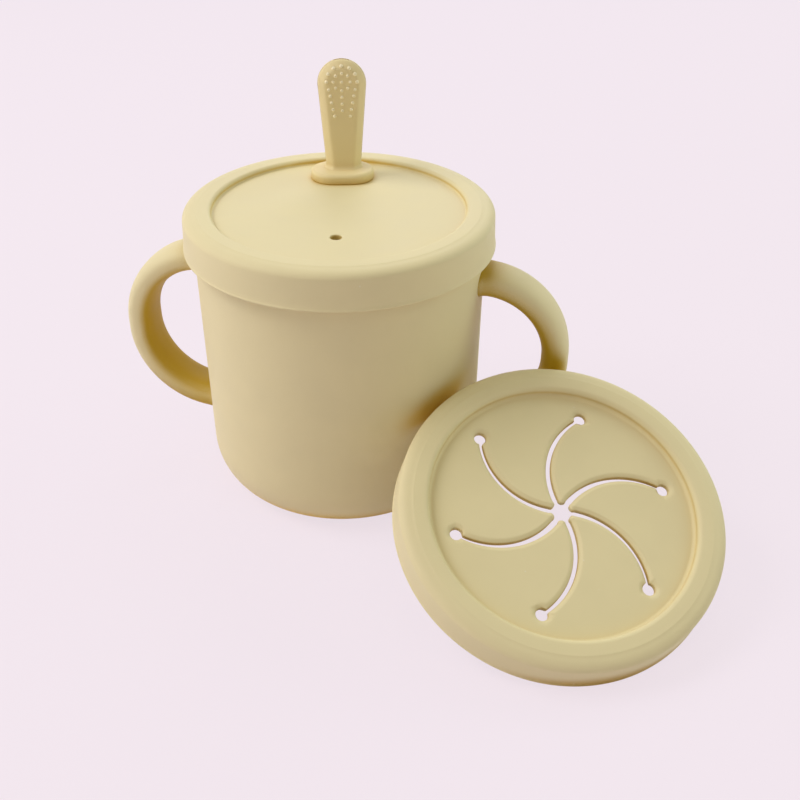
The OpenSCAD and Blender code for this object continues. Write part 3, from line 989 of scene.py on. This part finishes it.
def bothFaces(rows, cols):
    # Quads of two grids of the same size, one above the other, and of the walls round their edges
    count = rows * cols
    k, c = np.arange(rows - 1), np.arange(cols - 1)
    edges = [column + cols * np.stack([k, k + 1], -1) for column in (0, cols - 1)]
    edges += [row * cols + np.stack([c, c + 1], -1) for row in (0, rows - 1)]
    walls = [np.hstack([edge, edge[:, ::-1] + count]) for edge in edges]
    return np.vstack([gridFaces(rows, cols), gridFaces(rows, cols, start=count)] + walls)


def bendFlap(piece, index):
    # Works out the flap's outward direction over its hinge, which nothing then uses, and bakes the flap's
    # place into its mesh; the sheet stays flat
    spot = np.array(hinges[index]["pos_m"])
    middle = [0, 0, lid["high"] - snack["sunk"] - snack["panelThick"] / 2]
    outward = spot - placeOnLean(np.array(middle)) * mm
    outward = outward / np.linalg.norm(outward)
    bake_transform(piece)


def buildFlap(index):
    # One sixth of the panel, from the flap's tip out past the relief holes, with rounded edges and
    # a soft border along every cut
    r, tipR = flapRows()
    low, high, tipAngle = flapEdges(r, tipR)
    angle = spreadAcross(low, high, r, snack["edge"], snack["columns"])
    xy = r[:, None, None] * np.stack([np.cos(angle), np.sin(angle)], -1)
    gap = flapGap(r, angle, xy, low, high, tipR, tipAngle)
    fall = edgeDrop(gap, snack["edge"])
    top = lid["high"] - snack["sunk"]
    upper = top - fall - borderDrop(gap, snack["borderWide"], snack["borderDeep"])
    lower = top - snack["panelThick"] + fall
    points = np.vstack([np.concatenate([xy, z[..., None]], -1).reshape(-1, 3) for z in (upper, lower)])
    points = placeOnLean(turned(points, -index * 60))
    piece = makePiece(f"flapPanel{index + 1}", points, bothFaces(*angle.shape), snackSilicone)
    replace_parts(piece, f"flap_{index + 1}")
    bendFlap(piece, index)
    return piece


def buildSnackRim():
    # The rest of the snack lid: its section past the flaps, carried round
    top = lid["high"] - snack["sunk"]
    joinR, under = lid["joinR"], top - snack["panelThick"]
    rim = rimRows(snack["sunk"], snack["panelThick"], snack["fillet"], snack["edgeRound"])
    profile = np.vstack([[[joinR, top], [joinR + 1, top]], rim, [[joinR, under], [joinR, top]]])
    points, quads = revolve(profile, snack["segments"])
    piece = makePiece("snackLidRim", placeOnLean(points), quads, snackSilicone)
    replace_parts(piece, "snack_lid")
    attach(piece, "snack_lid")
    return piece


buildSnackRim()
for flapIndex in range(6):
    buildFlap(flapIndex)
print("snack lid and flaps made")


# Floor, light and camera

studio = {
    "backdrop": (0.905, 0.815, 0.879),
    "floorGlow": 0.85,        # share of the floor's look that is its plain colour, the rest being paint
    "worldLight": (1.0, 0.97, 0.88),
    "worldStrength": 0.35,
    "target": (0.01, -0.01, 0.05),
    "floorHalf": 3.0,
}
lamps = {                             # metres, watts and colours
    "highLeftLamp": {"at": (-0.80, -0.15, 0.95), "size": 0.6, "power": 7.0, "colour": (0.98, 0.95, 0.97)},
    "leftLamp": {"at": (-1.10, -0.10, 0.45), "size": 0.7, "power": 1.5, "colour": (0.92, 0.96, 1.0)},
    "rightLamp": {"at": (0.95, 0.45, 0.42), "size": 0.7, "power": 3.3, "colour": (0.84, 1.0, 0.84)},
    "backLamp": {"at": (0.0, 1.10, 0.70), "size": 0.8, "power": 2.6, "colour": (0.75, 0.80, 1.0)},
    "farLamp": {"at": (-0.10, 0.75, 1.10), "size": 0.6, "power": 1.8, "colour": (0.95, 0.93, 1.0)},
    "frontLamp": {"at": (0.05, -0.60, 1.10), "size": 0.6, "power": 0.9, "colour": (1.0, 0.72, 0.42)},
}


def seenShare(tree):
    # 1 for rays from the camera, gloss and clear surfaces, which see the backdrop's plain colour
    path = addNode(tree, "ShaderNodeLightPath")
    seen = addNode(tree, "ShaderNodeMath", operation="MAXIMUM")
    both = addNode(tree, "ShaderNodeMath", operation="MAXIMUM")
    tree.links.new(path.outputs["Is Camera Ray"], seen.inputs[0])
    tree.links.new(path.outputs["Is Glossy Ray"], seen.inputs[1])
    tree.links.new(seen.outputs["Value"], both.inputs[0])
    tree.links.new(path.outputs["Is Transmission Ray"], both.inputs[1])
    return both.outputs["Value"]


def buildWorld():
    # Even pale light from all round, with the backdrop's colour where it is seen
    world = bpy.data.worlds.new("studioWorld")
    scene.world = world
    world.use_nodes = True
    tree = world.node_tree
    tree.nodes.clear()
    light = addNode(tree, "ShaderNodeBackground", sockets={"Strength": studio["worldStrength"]})
    light.inputs["Color"].default_value = studio["worldLight"] + (1,)
    shown = addNode(tree, "ShaderNodeBackground", sockets={"Strength": 1.0})
    shown.inputs["Color"].default_value = studio["backdrop"] + (1,)
    mix = addNode(tree, "ShaderNodeMixShader")
    out = addNode(tree, "ShaderNodeOutputWorld")
    tree.links.new(seenShare(tree), mix.inputs["Fac"])
    tree.links.new(light.outputs["Background"], mix.inputs[1])
    tree.links.new(shown.outputs["Background"], mix.inputs[2])
    tree.links.new(mix.outputs["Shader"], out.inputs["Surface"])


def buildFloor():
    # A wide plane: mostly the backdrop's plain colour, with enough matte paint to hold a shadow
    material = bpy.data.materials.new("paleFloor")
    material.use_nodes = True
    tree = material.node_tree
    tree.nodes.clear()
    paint = addNode(tree, "ShaderNodeBsdfDiffuse", sockets={"Color": studio["backdrop"] + (1,)})
    glow = addNode(tree, "ShaderNodeEmission", sockets={"Color": studio["backdrop"] + (1,), "Strength": 1.0})
    share = addNode(tree, "ShaderNodeMath", operation="MULTIPLY", sockets={1: studio["floorGlow"]})
    mix = addNode(tree, "ShaderNodeMixShader")
    out = addNode(tree, "ShaderNodeOutputMaterial")
    tree.links.new(seenShare(tree), share.inputs[0])
    tree.links.new(share.outputs["Value"], mix.inputs["Fac"])
    tree.links.new(paint.outputs["BSDF"], mix.inputs[1])
    tree.links.new(glow.outputs["Emission"], mix.inputs[2])
    tree.links.new(mix.outputs["Shader"], out.inputs["Surface"])
    side = studio["floorHalf"]
    corners = [(-side, -side, 0), (side, -side, 0), (side, side, 0), (-side, side, 0)]
    mesh = bpy.data.meshes.new("floor")
    mesh.from_pydata(corners, [], [(0, 1, 2, 3)])
    mesh.materials.append(material)
    floor = bpy.data.objects.new("floor", mesh)
    scene.collection.objects.link(floor)


def buildLamp(name, lamp):
    # A square area lamp aimed at the object
    data = bpy.data.lights.new(name, "AREA")
    data.size = lamp["size"]
    data.energy = lamp["power"]
    data.color = lamp["colour"]
    piece = bpy.data.objects.new(name, data)
    piece.location = lamp["at"]
    away = Vector(studio["target"]) - Vector(lamp["at"])
    piece.rotation_euler = away.to_track_quat("-Z", "Y").to_euler()
    scene.collection.objects.link(piece)


view = {
    "at": (0.0620, -0.2712, 0.2038),
    "along": (-0.13476, 0.82410, -0.55019),
    "rollDegrees": 0.36,
    "lens": 47.25,
    "sensor": 36.0,
    "near": 0.01,
    "far": 20,
}


def buildCamera():
    # Stands where the photograph was taken from and looks down at the object
    data = bpy.data.cameras.new("camera")
    data.lens = view["lens"]
    data.sensor_width = view["sensor"]
    data.clip_start = view["near"]
    data.clip_end = view["far"]
    camera = bpy.data.objects.new("camera", data)
    look = Vector(view["along"]).to_track_quat("-Z", "Y").to_matrix()
    roll = Matrix.Rotation(math.radians(view["rollDegrees"]), 3, "Z")
    camera.matrix_world = Matrix.Translation(view["at"]) @ (look @ roll).to_4x4()
    scene.collection.objects.link(camera)
    scene.camera = camera


buildWorld()
buildFloor()
for lampName, lamp in lamps.items():
    buildLamp(lampName, lamp)
buildCamera()
scene.view_settings.view_transform = "Standard"
print("studio ready")
